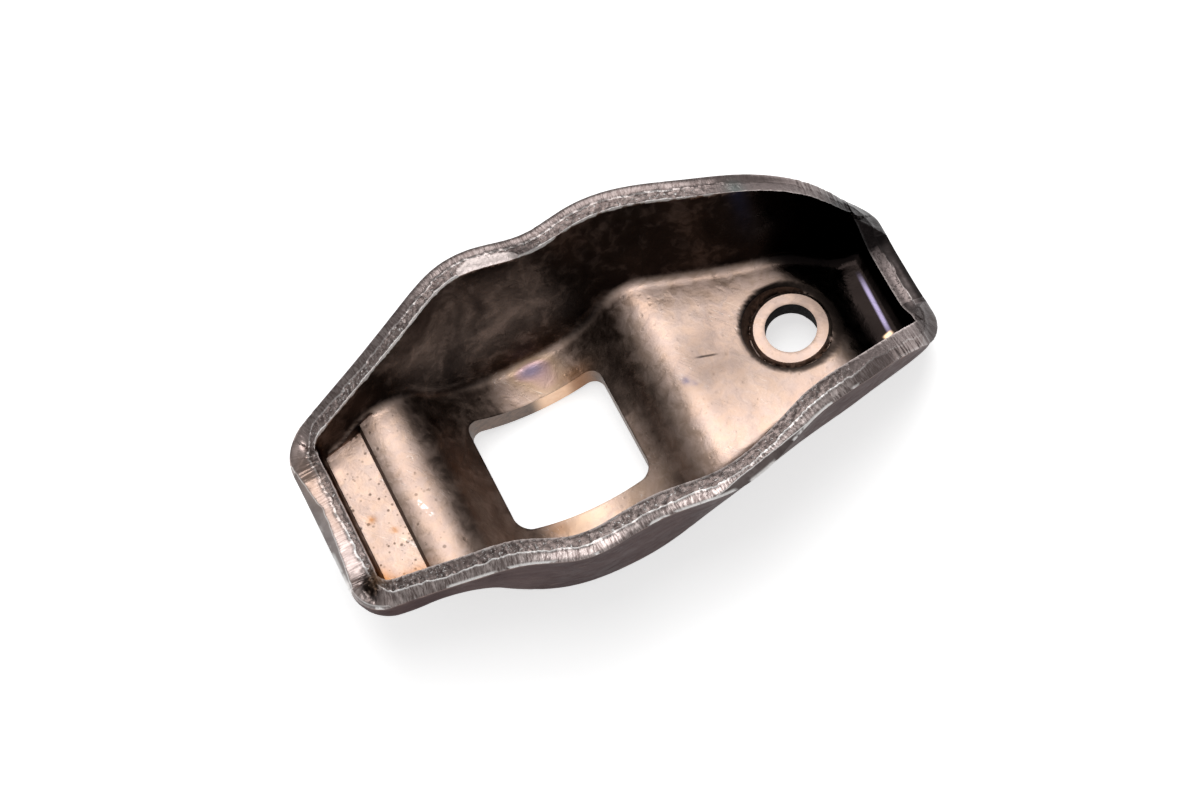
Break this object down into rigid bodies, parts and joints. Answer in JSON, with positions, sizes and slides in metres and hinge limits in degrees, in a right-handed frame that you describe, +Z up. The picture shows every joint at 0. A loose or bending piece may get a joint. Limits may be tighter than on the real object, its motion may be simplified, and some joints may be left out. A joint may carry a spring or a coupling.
{
  "type": "rocker arm",
  "caption": "Pressed sheet-steel rocker arm: open boat-shaped trough with a dished fulcrum saddle and slot, a coined valve pad and a ringed pushrod hole.",
  "frame": {"origin": "on the surface the part lies on, where the centre line of the fulcrum's stud comes up through the slot, straight under the axis of the fulcrum saddle", "axes": "+X along the arm from the valve end to the pushrod end, +Y across it along the saddle's axis, +Z up out of the open trough"},
  "size_m": [0.0775, 0.0424, 0.0225],
  "materials": {
    "steel": "pressed carbon steel, drawn walls dark brown-grey, worn pads bare and tan, sheared edge bright"
  },
  "bodies": {
    "root": {"rocker_arm": "steel"}
  },
  "joints": []
}
